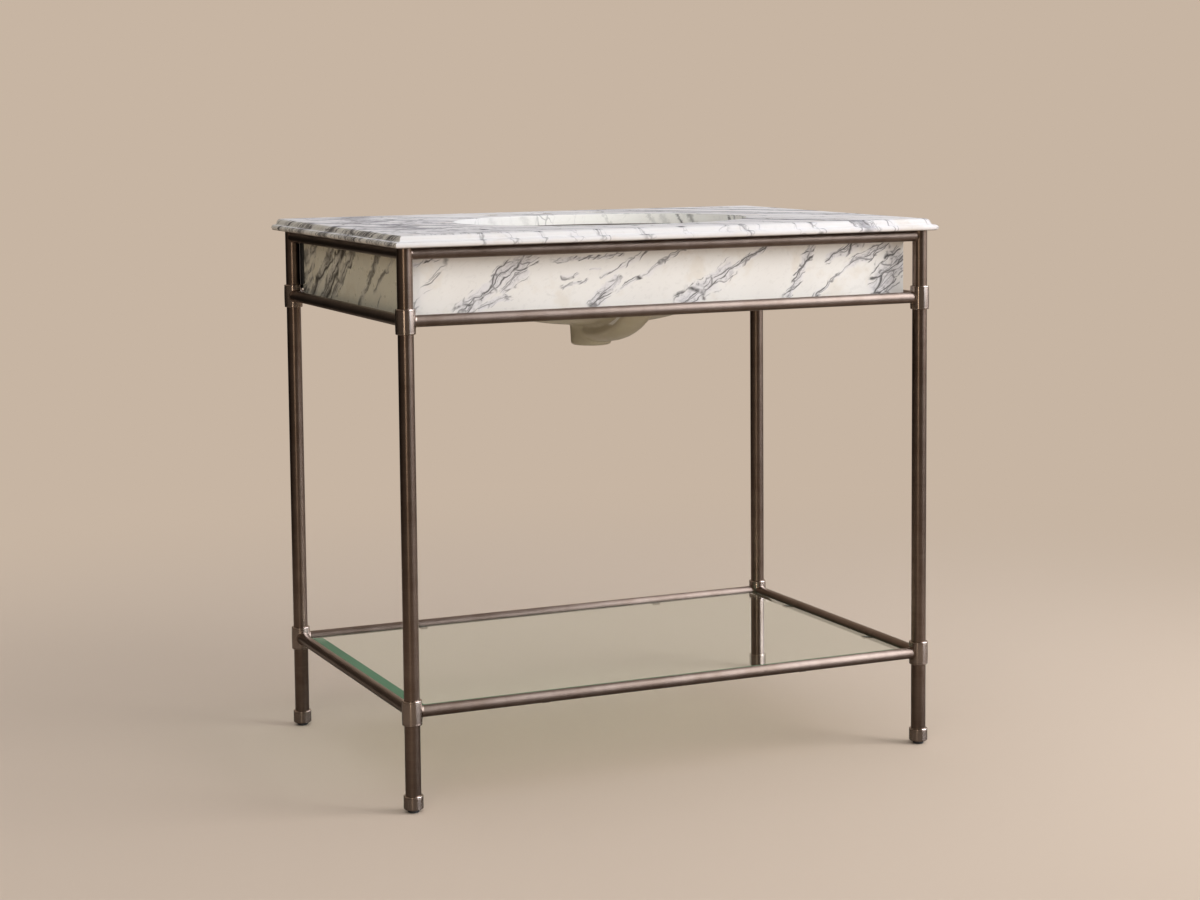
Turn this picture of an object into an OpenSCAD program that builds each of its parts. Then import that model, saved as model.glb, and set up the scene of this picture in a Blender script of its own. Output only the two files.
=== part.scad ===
// Washstand: bronze-finished tube frame, marble top and apron, undermount oval basin, glass shelf.
// Origin on the floor under the middle of the frame; +X to the right, +Y to the wall, +Z up.

/* [Overall] */
// Height of the marble's upper face above the floor
top_h = 870; // [800:5:940]
// Distance between the left and right leg centre lines
leg_span_x = 886; // [800:2:1100]
// Distance between the front and rear leg centre lines
leg_span_y = 566; // [560:2:640]

/* [Legs] */
// Outer diameter of the leg tubes
leg_d = 24; // [22:0.5:27]
// Wall of the leg tubes
leg_wall = 2; // [1.5:0.25:3]

/* [Rails] */
// Outer diameter of the rails
rail_d = 18; // [14:0.5:20]
// Wall of the rails
rail_wall = 1.5; // [1:0.25:2.5]
// Height of the shelf rails' centre line above the floor
shelf_rail_h = 153; // [120:1:300]
// Drop from the marble's underside to the lower apron rails' centre line
apron_rail_drop = 109.5; // [90:0.5:140]

/* [Collars] */
// Wall of the collars at their ends
collar_wall = 3; // [2:0.25:5]
// How far the barrel swells beyond its ends, on the radius
collar_belly = 0.6; // [0.2:0.1:1.2]
// Length of the collars
collar_len = 38; // [30:1:60]
// Radius of the rounded lip at each end of a collar or cap
lip_r = 1.2; // [0.8:0.1:1.8]
// Width and depth of the fine groove beside a lip
groove = 0.6; // [0.3:0.1:1]
// Length of the spigot inside the tubes at each collar
spigot_len = 60; // [44:2:100]

/* [Feet] */
// Gap between the floor and the foot cap
cap_gap = 5; // [4:0.5:8]
// Height of the foot cap
cap_h = 21; // [18:1:30]
// Thickness of the cap's floor
cap_floor = 3; // [2:0.5:5]
// Diameter of the levelling foot's pad
pad_d = 18; // [14:1:20]
// Diameter of the levelling screw
level_screw_d = 8; // [6:1:10]
// Length of the levelling screw
level_screw_len = 42; // [36:1:60]
// Length of the threaded plug in the leg
plug_len = 16; // [12:1:24]
// Radial running gap between screw and plug
screw_gap = 0.05; // [0.02:0.01:0.1]
// Gap around the pad inside the cap's recess
pad_gap = 1.2; // [0.6:0.1:1.8]
// How far the pad can be drawn up into the cap
pad_lift = 3; // [1:0.5:4]

/* [Marble top] */
// Thickness of the marble top
marble_t = 19; // [17:0.5:30]
// Overhang beyond the leg centre lines at the left and right
overhang_x = 21; // [18:0.5:40]
// Overhang beyond the front leg centre line
overhang_y = 24; // [18:0.5:40]
// Overhang beyond the rear leg centre line, toward the wall
overhang_rear = 52; // [30:0.5:60]
// Radius of the edge moulding's lower nose
nose_r = 4.6; // [3:0.1:6]
// Radius of the hollow above the nose
hollow_r = 2; // [0.6:0.1:2]
// Ledge between the hollow and the nose
ledge = 2.6; // [0.5:0.1:4]
// Diameter of the tap holes
tap_hole_d = 35; // [30:0.5:38]
// Distance between tap holes
tap_hole_pitch = 102; // [60:1:150]
// Distance from the marble's rear edge to the tap holes
tap_hole_inset = 88; // [72:1:94]

/* [Basin] */
// Width of the cut-out in the marble
cutout_w = 500; // [420:2:560]
// Distance from the front leg line to the cut-out
cutout_inset = 83; // [80:1:84]
// Distance from the cut-out to the marble's rear edge, where the tap holes are
tap_deck = 145; // [141:1:178]
// How far the bowl stands inside the cut-out
bowl_reveal = 4; // [1:0.5:8]
// Depth of the bowl below its rim
bowl_h = 144; // [120:1:160]
// How square the bowl's section is; 2 is an ellipse
bowl_power = 2.55; // [2:0.05:3]
// Wall of the bowl
bowl_wall = 9; // [7:0.5:12]
// Width of the rim's flange beyond the cut-out
rim_w = 22; // [16:1:24]
// Thickness of the rim's flange
rim_t = 12; // [8:1:16]
// Extra wall at the bowl's bottom
bowl_foot = 2; // [1:0.5:5]
// How far the bowl's bottom lies behind its rim's centre
bowl_skew = 30; // [0:1:40]
// How far the waste hole lies behind the cut-out's centre
waste_shift = 45; // [30:1:55]
// Diameter of the waste hole
waste_d = 45; // [40:0.5:50]
// Diameter of the recess around the waste hole
waste_recess_d = 64; // [56:1:66]
// Depth of the recess around the waste hole
waste_recess_h = 2.5; // [1:0.5:5]
// Diameter of the waste boss at its foot
boss_d = 68; // [60:1:76]
// How far the boss widens on its radius to the bowl
boss_draft = 2; // [0:0.5:4]
// Height of the waste boss below the bowl
boss_h = 37; // [32:1:48]
// Width of the overflow housing
overflow_w = 54; // [44:1:60]
// Width of the passage inside the housing
overflow_duct_w = 28; // [20:1:30]
// Wall of the housing outside the passage
overflow_wall = 5; // [4:0.5:7]
// How far the housing stands out from the bowl at its top
overflow_out_top = 16; // [12:0.5:20]
// How far the housing stands out from the bowl at its bottom
overflow_out_bottom = 28.5; // [22:0.5:30]
// Diameter of the overflow hole
overflow_d = 20; // [12:1:24]
// Thickness of the sealant between rim and marble
seal_t = 1; // [0.5:0.1:2]

/* [Apron panels] */
// Thickness of the apron panels
panel_t = 20; // [15:0.5:24]
// Distance from the side leg lines in to the side panels' faces
panel_inset_x = 13; // [12.5:0.5:30]
// Distance from the front leg line back to the front panel's face
panel_inset_y = 29; // [12.5:0.5:29]
// How far the panels hang below the marble
panel_h = 115; // [90:1:130]
// Thickness of the dark angle round each side panel's rear end
end_angle_t = 3; // [1.5:0.25:3]
// Width of that angle on the panel's outer face
end_angle_w = 8; // [5:0.5:14]
// Gap between the dark angle and the rear rails' front line
end_angle_gap = 3; // [2.5:0.25:8]
// How far the angle's fin runs back behind the panel's end
end_fin_len = 28; // [20:1:30]
// How far the fin stands in from the panel's face
end_fin_inset = 4.5; // [4:0.5:8]

/* [Glass shelf] */
// Thickness of the glass
glass_t = 8; // [6:0.5:10]
// Height of the glass's upper face above the rails' centre line
glass_rise = 2; // [0:0.5:5]
// Gap between the glass and the rails
glass_gap = 1; // [0.5:0.25:3]
// Width of the bevel
bevel_w = 20; // [8:1:30]
// Drop of the bevel at the glass's edge
bevel_drop = 3; // [1:0.25:4]
// Gap between the glass's cut corners and the collars
glass_corner_gap = 1.5; // [1:0.25:4]
// Thickness of the clear cushions under the glass
cushion_t = 0.8; // [0.5:0.1:2]
// Diameter of the clear cushions
cushion_d = 9; // [6:0.5:10]
// Thickness of the tabs under the glass
tab_t = 3; // [2:0.25:4]
// Width of the tabs
tab_w = 12; // [10:1:20]
// How far the tabs reach under the glass
tab_grip = 11; // [10:0.5:16]
// Distance between the two tabs on a front or rear rail
tab_pitch_x = 450; // [200:10:600]
// Distance between the two tabs on a side rail
tab_pitch_y = 280; // [150:10:400]

/* [Fixings] */
// Diameter of the machine screws
screw_d = 5; // [4:0.5:6]
// Depth of the threaded inserts
insert_len = 10; // [8:0.5:12]
// Thickness of the clips and brackets
bracket_t = 3; // [2:0.25:4]
// Length of a bracket's arms
bracket_arm = 26; // [22:1:32]
// Width of a clip or bracket
bracket_w = 20; // [14:1:28]
// Distance between the front panel's two brackets
front_bracket_pitch = 680; // [600:10:720]
// Distance between a side panel's two brackets
side_bracket_pitch = 340; // [200:10:400]
// How far the clips' bars reach under the rim
clip_grip = 8; // [5:0.5:9]
// How far the clips reach out from the rim
clip_reach = 24; // [20:1:26]

/* [Hidden] */
$fn = 64;

// Corners of the frame, as signs of X and Y
FL = [-1, -1];
FR = [1, -1];
RL = [-1, 1];
RR = [1, 1];
CORNERS = [FL, FR, RL, RR];

BRONZE = "#5e4b3f";
DARK_STEEL = "#2b2826";
MARBLE = "#ece8e2";
eps = 0.01;
through = 2;

marble_z = top_h - marble_t;
top_rail_z = marble_z - rail_d / 2;
apron_rail_z = marble_z - apron_rail_drop;
collar_r = leg_d / 2 + collar_wall;
cap_top = cap_gap + cap_h;
cap_recess = pad_lift + 1;
cap_socket_z = cap_gap + cap_recess + cap_floor;
pad_grip = 3;
marble_w = leg_span_x + 2 * overhang_x;
marble_front_y = leg_span_y / 2 + overhang_y;
marble_rear_y = leg_span_y / 2 + overhang_rear;
marble_d = marble_front_y + marble_rear_y;
frame_shift = (marble_rear_y - marble_front_y) / 2;
shoulder_r = marble_t - 2 * nose_r - hollow_r;
moulding_run = shoulder_r + hollow_r + ledge + nose_r;
cutout_d = marble_d - overhang_y - cutout_inset - tap_deck;
cutout_y = -leg_span_y / 2 + cutout_inset + cutout_d / 2;
waste_y = cutout_y + waste_shift;
rim_z = marble_z - seal_t;
panel_x = leg_span_x / 2 - panel_inset_x;
panel_y = leg_span_y / 2 - panel_inset_y;
panel_z = marble_z - panel_h;
rail_inner_y = leg_span_y / 2 - rail_d / 2;
panel_end_y = rail_inner_y - end_angle_gap - end_angle_t;
glass_z = shelf_rail_h + glass_rise;
insert_d = screw_d + 3;
screw_len = bracket_t + insert_len - 2;

// Points along an arc in the plane, from angle a0 to a1
function arc(x, y, r, a0, a1, n) =
    [for (i = [0:n]) let (a = a0 + (a1 - a0) * i / n) [x + r * cos(a), y + r * sin(a)]];

// Points of an ellipse about the cut-out's centre
function oval(a, b, n = 96) = [for (i = [0:n - 1]) [a * cos(360 * i / n), cutout_y + b * sin(360 * i / n)]];

module at_corner(c) {
    translate([c[0] * leg_span_x / 2, c[1] * leg_span_y / 2, 0]) children();
}

module tube(d, wall, z0, z1) {
    translate([0, 0, z0]) difference() {
        cylinder(d = d, h = z1 - z0);
        translate([0, 0, -through]) cylinder(d = d - 2 * wall, h = z1 - z0 + 2 * through);
    }
}

// ---- Legs ----

module lower_tube(c) {
    color(BRONZE) at_corner(c) tube(leg_d, leg_wall, cap_socket_z, shelf_rail_h);
}

module middle_tube(c) {
    color(BRONZE) at_corner(c) tube(leg_d, leg_wall, shelf_rail_h, apron_rail_z);
}

module upper_tube(c) {
    color(BRONZE) at_corner(c) tube(leg_d, leg_wall, apron_rail_z, marble_z);
}

// ---- Collars: bellied barrel, a fine groove and a rounded lip at each end ----

// Outline of one end of a collar or cap: lip, then groove, going down from height z
function lip_outline(r, z, down) = concat(
    arc(r - lip_r, z - down * lip_r, lip_r, down * 90, 0, 5),
    [[r, z - down * (2 * lip_r)], [r - groove, z - down * (2 * lip_r)],
     [r - groove, z - down * (2 * lip_r + groove)], [r, z - down * (2 * lip_r + groove)]]);

function reversed(p) = [for (i = [len(p) - 1:-1:0]) p[i]];

// Outer line of the barrel between the two grooves
function belly_outline(r, half, n = 12) =
    [for (i = [1:n - 1]) let (u = 2 * i / n - 1) [r + collar_belly * (1 - u * u), -u * half]];

module collar_blank() {
    half = collar_len / 2;
    rotate_extrude() polygon(concat(
        [[0, half]], lip_outline(collar_r, half, 1), belly_outline(collar_r, half - 2 * lip_r - groove),
        reversed(lip_outline(collar_r, -half, -1)), [[0, -half]]));
}

module collar(c, z) {
    color(BRONZE) at_corner(c) translate([0, 0, z]) difference() {
        collar_blank();
        cylinder(d = leg_d, h = collar_len + 2 * through, center = true);
    }
}

module joining_spigots() {
    color(BRONZE) for (c = CORNERS, z = [shelf_rail_h, apron_rail_z])
        at_corner(c) translate([0, 0, z]) cylinder(d = leg_d - 2 * leg_wall, h = spigot_len, center = true);
}

// ---- Feet ----

module foot_cap(c) {
    cap_r = leg_d / 2 + collar_wall;
    chamfer = 1.6;
    color(BRONZE) at_corner(c) difference() {
        rotate_extrude() polygon(concat(
            [[0, cap_top]], lip_outline(cap_r, cap_top, 1),
            [[cap_r, cap_gap + chamfer], [cap_r - chamfer, cap_gap], [0, cap_gap]]));
        translate([0, 0, cap_socket_z]) cylinder(d = leg_d, h = cap_h);
        translate([0, 0, cap_gap - through]) cylinder(d = level_screw_d + 1, h = cap_h);
        translate([0, 0, cap_gap - through]) cylinder(d = pad_d + 2 * pad_gap, h = cap_recess + through);
    }
}

module leg_plugs() {
    color(BRONZE) for (c = CORNERS) at_corner(c) translate([0, 0, cap_socket_z]) difference() {
        cylinder(d = leg_d - 2 * leg_wall, h = plug_len);
        translate([0, 0, -through])
            cylinder(r = level_screw_d / 2 + screw_gap, h = plug_len + 2 * through);
    }
}

module foot_pad(c) {
    edge = 1;
    color("#1b1a19") at_corner(c) difference() {
        rotate_extrude() polygon([
            [0, 0], [pad_d / 2 - edge, 0], [pad_d / 2, edge], [pad_d / 2, cap_gap - edge],
            [pad_d / 2 - edge, cap_gap], [0, cap_gap]]);
        translate([0, 0, cap_gap - pad_grip]) cylinder(d = level_screw_d, h = pad_grip + through);
    }
}

module level_screw(c) {
    color("silver") at_corner(c) translate([0, 0, cap_gap - pad_grip])
        cylinder(d = level_screw_d, h = level_screw_len);
}

// ---- Rails: tubes coped to the collars, or to the legs under the marble ----

// A rail along X between two leg lines; the child is the shape that each end is coped to
module rail(span) {
    color(BRONZE) difference() {
        rotate([0, 90, 0]) translate([0, 0, -span / 2]) tube(rail_d, rail_wall, 0, span);
        for (s = [-1, 1]) translate([s * span / 2, 0, 0]) children();
    }
}

module leg_cope() {
    cylinder(d = leg_d, h = 2 * rail_d, center = true);
    for (a = [0, 180]) rotate([0, 0, a]) linear_extrude(2 * rail_d, center = true)
        polygon([[0, 0], [rail_d, rail_d], [-rail_d, rail_d]]);
}

module rail_front_rear(side, z, on_leg = false) {
    translate([0, side * leg_span_y / 2, z]) rail(leg_span_x) {
        if (on_leg) leg_cope();
        else collar_blank();
    }
}

module rail_left_right(side, z, on_leg = false) {
    translate([side * leg_span_x / 2, 0, z]) rotate([0, 0, 90]) rail(leg_span_y) {
        if (on_leg) leg_cope();
        else collar_blank();
    }
}

// ---- Marble top and apron ----

// Half of the moulded edge's section: run along the ground outward, nose at full reach
function moulded_edge(reach) = concat(
    arc(reach - nose_r, nose_r, nose_r, -90, 90, 12),
    reversed(arc(reach - nose_r - ledge, 2 * nose_r + hollow_r, hollow_r, 180, 270, 4)),
    arc(reach - moulding_run, marble_t - shoulder_r, shoulder_r, 0, 90, 8));

module slab_section_x() {
    right = moulded_edge(marble_w / 2);
    polygon(concat(right, [for (p = reversed(right)) [-p[0], p[1]]]));
}

module slab_section_y() {
    front = moulded_edge(marble_front_y);
    polygon(concat([[marble_rear_y, 0], [marble_rear_y, marble_t]], [for (p = reversed(front)) [-p[0], p[1]]]));
}

module slab() {
    translate([0, 0, marble_z]) intersection() {
        rotate([90, 0, 0]) linear_extrude(2 * marble_rear_y + 2 * through, center = true) slab_section_x();
        rotate([90, 0, 90]) linear_extrude(marble_w + 2 * through, center = true) slab_section_y();
    }
}

module tap_holes() {
    for (i = [-1:1]) translate([i * tap_hole_pitch, marble_rear_y - tap_hole_inset, marble_z - through])
        cylinder(d = tap_hole_d, h = marble_t + 2 * through);
}

module marble_top() {
    color(MARBLE) difference() {
        slab();
        translate([0, 0, marble_z - through]) linear_extrude(marble_t + 2 * through)
            polygon(oval(cutout_w / 2, cutout_d / 2));
        tap_holes();
        insert_holes();
    }
}

module apron_panel_front() {
    color(MARBLE) difference() {
        translate([0, 0, panel_z]) linear_extrude(panel_h) polygon([
            [-panel_x, -panel_y], [panel_x, -panel_y],
            [panel_x - panel_t, -panel_y + panel_t], [-panel_x + panel_t, -panel_y + panel_t]]);
        insert_holes();
    }
}

module apron_panel_side(side) {
    color(MARBLE) difference() {
        translate([0, 0, panel_z]) linear_extrude(panel_h) polygon([
            [side * panel_x, -panel_y], [side * panel_x, panel_end_y],
            [side * (panel_x - panel_t), panel_end_y], [side * (panel_x - panel_t), -panel_y + panel_t]]);
        insert_holes();
    }
}

// ---- Basin ----

bowl_a = cutout_w / 2 - bowl_reveal;
bowl_b = cutout_d / 2 - bowl_reveal;
bowl_floor_z = rim_z - bowl_h;
shell_h = bowl_h + bowl_wall + bowl_foot;
boss_z = rim_z - shell_h - boss_h;
seat_z = bowl_floor_z - waste_recess_h;
boss_top_z = seat_z - 0.5;
ring_n = 72;
step_a = 7;

// Cosine and sine bent to the bowl's section
function bent_cos(a) = sign(cos(a)) * pow(abs(cos(a)), 2 / bowl_power);
function bent_sin(a) = pow(sin(a), 2 / bowl_power);

// One ring of the bowl, at angle a below the rim's plane, grown by wall
function bowl_ring(a, wall, depth) = let (
    k = bent_cos(a),
    h = bent_sin(a),
    cy = cutout_y + bowl_skew * h * h
) [for (i = [0:ring_n - 1]) let (t = 360 * (i + 0.5) / ring_n)
    [(bowl_a + wall) * k * cos(t), cy + (bowl_b + wall) * k * sin(t), rim_z - depth * h]];

function flat_ring(grow, z) = [for (i = [0:ring_n - 1]) let (t = 360 * (i + 0.5) / ring_n)
    [(cutout_w / 2 + grow) * cos(t), cutout_y + (cutout_d / 2 + grow) * sin(t), z]];

// A closed skin through rings of equal count, with a point at each end
module ringed_solid(rings, first, last) {
    n = len(rings[0]);
    m = len(rings);
    points = concat([first], [for (r = rings) for (p = r) p], [last]);
    faces = concat(
        [for (i = [0:n - 1]) [0, 1 + (i + 1) % n, 1 + i]],
        [for (j = [0:m - 2]) for (i = [0:n - 1]) let (a = 1 + j * n + i, b = 1 + j * n + (i + 1) % n)
            each [[a, b, a + n], [b, b + n, a + n]]],
        [for (i = [0:n - 1]) let (a = 1 + (m - 1) * n) [a + i, a + (i + 1) % n, 1 + m * n]]);
    polyhedron(points, faces);
}

// The oval bowl with its flat rim, before the holes
module bowl_body() {
    rim_a = asin(pow(rim_t / shell_h, bowl_power / 2));
    ringed_solid(
        concat(
            [for (a = [90 - step_a:-step_a:step_a]) bowl_ring(a, 0, bowl_h)],
            [bowl_ring(0, 0, bowl_h), flat_ring(rim_w, rim_z), flat_ring(rim_w, rim_z - rim_t),
             bowl_ring(rim_a, bowl_wall, shell_h)],
            [for (a = [2 * step_a:step_a:90 - step_a]) bowl_ring(a, bowl_wall, shell_h)]),
        [0, cutout_y + bowl_skew, bowl_floor_z],
        [0, cutout_y + bowl_skew, rim_z - shell_h]);
}

overflow_a0 = 14;
overflow_bite = 6;

// How far the overflow housing stands off the bowl at angle a
function overflow_out(a) = overflow_out_top + (overflow_out_bottom - overflow_out_top) * pow(sin(a), 2);

// Point on the front of the bowl's outer skin at angle a, moved out by off
function keel_point(a, off) = let (
    k = bent_cos(a),
    h = bent_sin(a),
    b = bowl_b + bowl_wall,
    n = [sign(k) * pow(abs(k), bowl_power - 1) / b, pow(h, bowl_power - 1) / shell_h],
    u = n / norm(n)
) [cutout_y + bowl_skew * h * h - b * k - u[0] * off, rim_z - shell_h * h - u[1] * off];

// Oval ring across the keel between two offsets from the bowl's skin
function keel_ring(a, w, low, high, n = 16) = let (p = keel_point(a, low), q = keel_point(a, high),
    m = (p + q) / 2, d = (q - p) / 2)
    [for (i = [0:n - 1]) let (t = 360 * i / n, c = cos(t), s = sin(t))
        [w / 2 * sign(c) * pow(abs(c), 0.7), m[0] + d[0] * sign(s) * pow(abs(s), 0.7),
         m[1] + d[1] * sign(s) * pow(abs(s), 0.7)]];

// A curved duct down the front of the bowl, from angle a0 to a1
module keel(w, a0, a1, low, wall) {
    n = 12;
    rings = [for (i = [0:n]) let (a = a0 + (a1 - a0) * i / n) keel_ring(a, w, low, overflow_out(a) - wall)];
    ringed_solid(reversed(rings), mean(rings[n]), mean(rings[0]));
}

function mean(r) = [for (k = [0:2]) let (s = [for (p = r) p[k]]) (max(s) + min(s)) / 2];

module basin() {
    overflow_a = overflow_a0 + 6;
    hole_z = rim_z - bowl_h * bent_sin(overflow_a);
    color("#e9e8e2") difference() {
        union() {
            bowl_body();
            translate([0, waste_y, boss_z])
                cylinder(d1 = boss_d, d2 = boss_d + 2 * boss_draft, h = boss_top_z - boss_z);
            keel(overflow_w, overflow_a0, 98, -overflow_bite, 0);
        }
        keel(overflow_duct_w, overflow_a0 + 2, 92, 1, overflow_wall);
        translate([0, keel_point(overflow_a, overflow_out(overflow_a) / 2)[0], hole_z]) rotate([-90, 0, 0])
            cylinder(d = overflow_d, h = bowl_wall + 20);
        translate([0, waste_y, boss_z - through]) cylinder(d = waste_d, h = shell_h);
        translate([0, waste_y, seat_z]) cylinder(d = waste_recess_d, h = bowl_h / 2);
    }
}

module basin_seal() {
    color("#d8d6cf") translate([0, 0, rim_z]) linear_extrude(seal_t) difference() {
        polygon(oval(cutout_w / 2 + 10, cutout_d / 2 + 10));
        polygon(oval(cutout_w / 2, cutout_d / 2));
    }
}

// ---- Clips, brackets and their screws ----

CLIP_ANGLES = [0, 48, 132, 180, 228, 312];

// Frame on the rim's outline at angle t, with local X pointing outward
module at_rim(t) {
    a = cutout_w / 2 + rim_w;
    b = cutout_d / 2 + rim_w;
    translate([a * cos(t), cutout_y + b * sin(t), 0]) rotate([0, 0, atan2(a * sin(t), b * cos(t))]) children();
}

module basin_clips() {
    z = rim_z - rim_t - bracket_t;
    color("#b08d4c") for (t = CLIP_ANGLES) at_rim(t) difference() {
        union() {
            translate([-clip_grip, -bracket_w / 2, z]) cube([clip_grip + clip_reach, bracket_w, bracket_t]);
            translate([clip_reach - bracket_t, -bracket_w / 2, z])
                cube([bracket_t, bracket_w, marble_z - z]);
        }
        translate([clip_reach / 2, 0, z - through]) cylinder(d = screw_d, h = bracket_t + 2 * through);
    }
}

// Brackets in the corner between a panel and the marble: position of the corner and turn about Z
BRACKETS = concat(
    [for (s = [-1, 1]) [[s * front_bracket_pitch / 2, -panel_y + panel_t, marble_z], 90]],
    [for (s = [-1, 1], y = [-0.5, 0.5])
        [[s * (panel_x - panel_t), y * side_bracket_pitch, marble_z], s < 0 ? 0 : 180]]);

module at_bracket(b) {
    translate(b[0]) rotate([0, 0, b[1]]) children();
}

// Angle round the rear end of a side panel, from above the collar to just under the marble
module end_angle(side) {
    z0 = apron_rail_z + collar_len / 2 + 2;
    h = marble_z - 3 - z0;
    for (box = [
        [[panel_x - panel_t, panel_end_y], [panel_t + end_angle_t, end_angle_t]],
        [[panel_x, panel_end_y - end_angle_w], [end_angle_t, end_angle_w + eps]]])
        mirror([side < 0 ? 1 : 0, 0, 0]) translate([box[0][0], box[0][1], z0])
            cube([box[1][0], box[1][1], h]);
    fin_z0 = apron_rail_z + rail_d / 2 + end_angle_gap;
    mirror([side < 0 ? 1 : 0, 0, 0])
        translate([panel_x - end_fin_inset - end_angle_t, panel_end_y + end_angle_t - eps, fin_z0])
            cube([end_angle_t, end_fin_len + eps, top_rail_z - rail_d / 2 - end_angle_gap - fin_z0]);
}

module panel_brackets() {
    color(DARK_STEEL) {
        for (b = BRACKETS) at_bracket(b) difference() {
            union() {
                translate([0, -bracket_w / 2, -bracket_t]) cube([bracket_arm, bracket_w, bracket_t]);
                translate([0, -bracket_w / 2, -bracket_arm]) cube([bracket_t, bracket_w, bracket_arm]);
            }
            bracket_fixings() cylinder(d = screw_d, h = 2 * bracket_t + through, center = true);
        }
        for (side = [-1, 1]) end_angle(side);
    }
}

// The two screw places of a bracket; local +Z points into the stone
module bracket_fixings() {
    reach = bracket_arm * 0.62;
    translate([reach, 0, -bracket_t]) children();
    translate([bracket_t, 0, -reach]) rotate([0, -90, 0]) children();
}

// Every place where a screw enters an insert; local z = 0 is the outer face of the clip or bracket
module at_fixings() {
    for (t = CLIP_ANGLES) at_rim(t) translate([clip_reach / 2, 0, marble_z - bracket_t]) children();
    for (b = BRACKETS) at_bracket(b) bracket_fixings() children();
}

module insert_holes() {
    at_fixings() translate([0, 0, bracket_t]) cylinder(d = insert_d, h = insert_len);
}

module fixing_inserts() {
    color("#b08d4c") at_fixings() translate([0, 0, bracket_t]) difference() {
        cylinder(d = insert_d, h = insert_len);
        translate([0, 0, -through]) cylinder(d = screw_d, h = insert_len + 2 * through);
    }
}

module machine_screw(grip) {
    head_h = 3;
    difference() {
        union() {
            translate([0, 0, -grip - head_h]) cylinder(d = 1.8 * screw_d, h = head_h);
            translate([0, 0, -grip]) cylinder(d = screw_d, h = grip + insert_len - 2);
        }
        translate([0, 0, -grip - head_h - through]) cylinder(d = 0.7 * screw_d, h = head_h / 2 + through, $fn = 6);
    }
}

module fixing_screws() {
    color("silver") {
        for (t = CLIP_ANGLES) at_rim(t) translate([clip_reach / 2, 0, marble_z])
            machine_screw(seal_t + rim_t + bracket_t);
        for (b = BRACKETS) at_bracket(b) bracket_fixings() translate([0, 0, bracket_t])
            machine_screw(bracket_t);
    }
}

// ---- Glass shelf ----

glass_w = leg_span_x - rail_d - 2 * glass_gap;
glass_d = leg_span_y - rail_d - 2 * glass_gap;

function bevel_section(w) = [
    [-w / 2, 0], [w / 2, 0], [w / 2, glass_t - bevel_drop], [w / 2 - bevel_w, glass_t],
    [-w / 2 + bevel_w, glass_t], [-w / 2, glass_t - bevel_drop]];

module glass_shelf() {
    color("#bcd3c6", 0.45) difference() {
        translate([0, 0, glass_z - glass_t]) intersection() {
            rotate([90, 0, 0]) linear_extrude(glass_d, center = true) polygon(bevel_section(glass_w));
            rotate([90, 0, 90]) linear_extrude(glass_w, center = true) polygon(bevel_section(glass_d));
        }
        for (c = CORNERS) at_corner(c) translate([0, 0, shelf_rail_h]) cylinder(
            r = collar_r + collar_belly + glass_corner_gap, h = collar_len, center = true);
    }
}

// Tab places: a point on a shelf rail's centre line and the turn that points the tab inward
TABS = concat(
    [for (s = [-1, 1], x = [-0.5, 0.5]) [[x * tab_pitch_x, s * leg_span_y / 2], -s * 90]],
    [for (s = [-1, 1], y = [-0.5, 0.5]) [[s * leg_span_x / 2, y * tab_pitch_y], s < 0 ? 0 : 180]]);
tab_reach = rail_d / 2 + glass_gap + tab_grip;
tab_z = glass_z - glass_t - cushion_t;

module at_tab(t) {
    translate([t[0][0], t[0][1], 0]) rotate([0, 0, t[1]]) children();
}

module shelf_tabs() {
    color(BRONZE) for (t = TABS) at_tab(t) difference() {
        translate([0, -tab_w / 2, tab_z - tab_t]) cube([tab_reach, tab_w, tab_t]);
        translate([0, 0, shelf_rail_h]) rotate([90, 0, 0]) cylinder(d = rail_d, h = tab_w + 2 * through, center = true);
    }
}

module shelf_cushions() {
    color("#dfe3dc", 0.7) for (t = TABS) at_tab(t)
        translate([tab_reach - tab_grip / 2, 0, tab_z]) cylinder(d = cushion_d, h = cushion_t);
}

// ---- Named pieces ----

module foot_cap_front_left() { foot_cap(FL); }
module foot_cap_front_right() { foot_cap(FR); }
module foot_cap_rear_left() { foot_cap(RL); }
module foot_cap_rear_right() { foot_cap(RR); }
module foot_pad_front_left() { foot_pad(FL); }
module foot_pad_front_right() { foot_pad(FR); }
module foot_pad_rear_left() { foot_pad(RL); }
module foot_pad_rear_right() { foot_pad(RR); }
module level_screw_front_left() { level_screw(FL); }
module level_screw_front_right() { level_screw(FR); }
module level_screw_rear_left() { level_screw(RL); }
module level_screw_rear_right() { level_screw(RR); }
module lower_tube_front_left() { lower_tube(FL); }
module lower_tube_front_right() { lower_tube(FR); }
module lower_tube_rear_left() { lower_tube(RL); }
module lower_tube_rear_right() { lower_tube(RR); }
module middle_tube_front_left() { middle_tube(FL); }
module middle_tube_front_right() { middle_tube(FR); }
module middle_tube_rear_left() { middle_tube(RL); }
module middle_tube_rear_right() { middle_tube(RR); }
module upper_tube_front_left() { upper_tube(FL); }
module upper_tube_front_right() { upper_tube(FR); }
module upper_tube_rear_left() { upper_tube(RL); }
module upper_tube_rear_right() { upper_tube(RR); }
module shelf_collar_front_left() { collar(FL, shelf_rail_h); }
module shelf_collar_front_right() { collar(FR, shelf_rail_h); }
module shelf_collar_rear_left() { collar(RL, shelf_rail_h); }
module shelf_collar_rear_right() { collar(RR, shelf_rail_h); }
module apron_collar_front_left() { collar(FL, apron_rail_z); }
module apron_collar_front_right() { collar(FR, apron_rail_z); }
module apron_collar_rear_left() { collar(RL, apron_rail_z); }
module apron_collar_rear_right() { collar(RR, apron_rail_z); }
module shelf_rail_front() { rail_front_rear(-1, shelf_rail_h); }
module shelf_rail_rear() { rail_front_rear(1, shelf_rail_h); }
module shelf_rail_left() { rail_left_right(-1, shelf_rail_h); }
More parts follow.
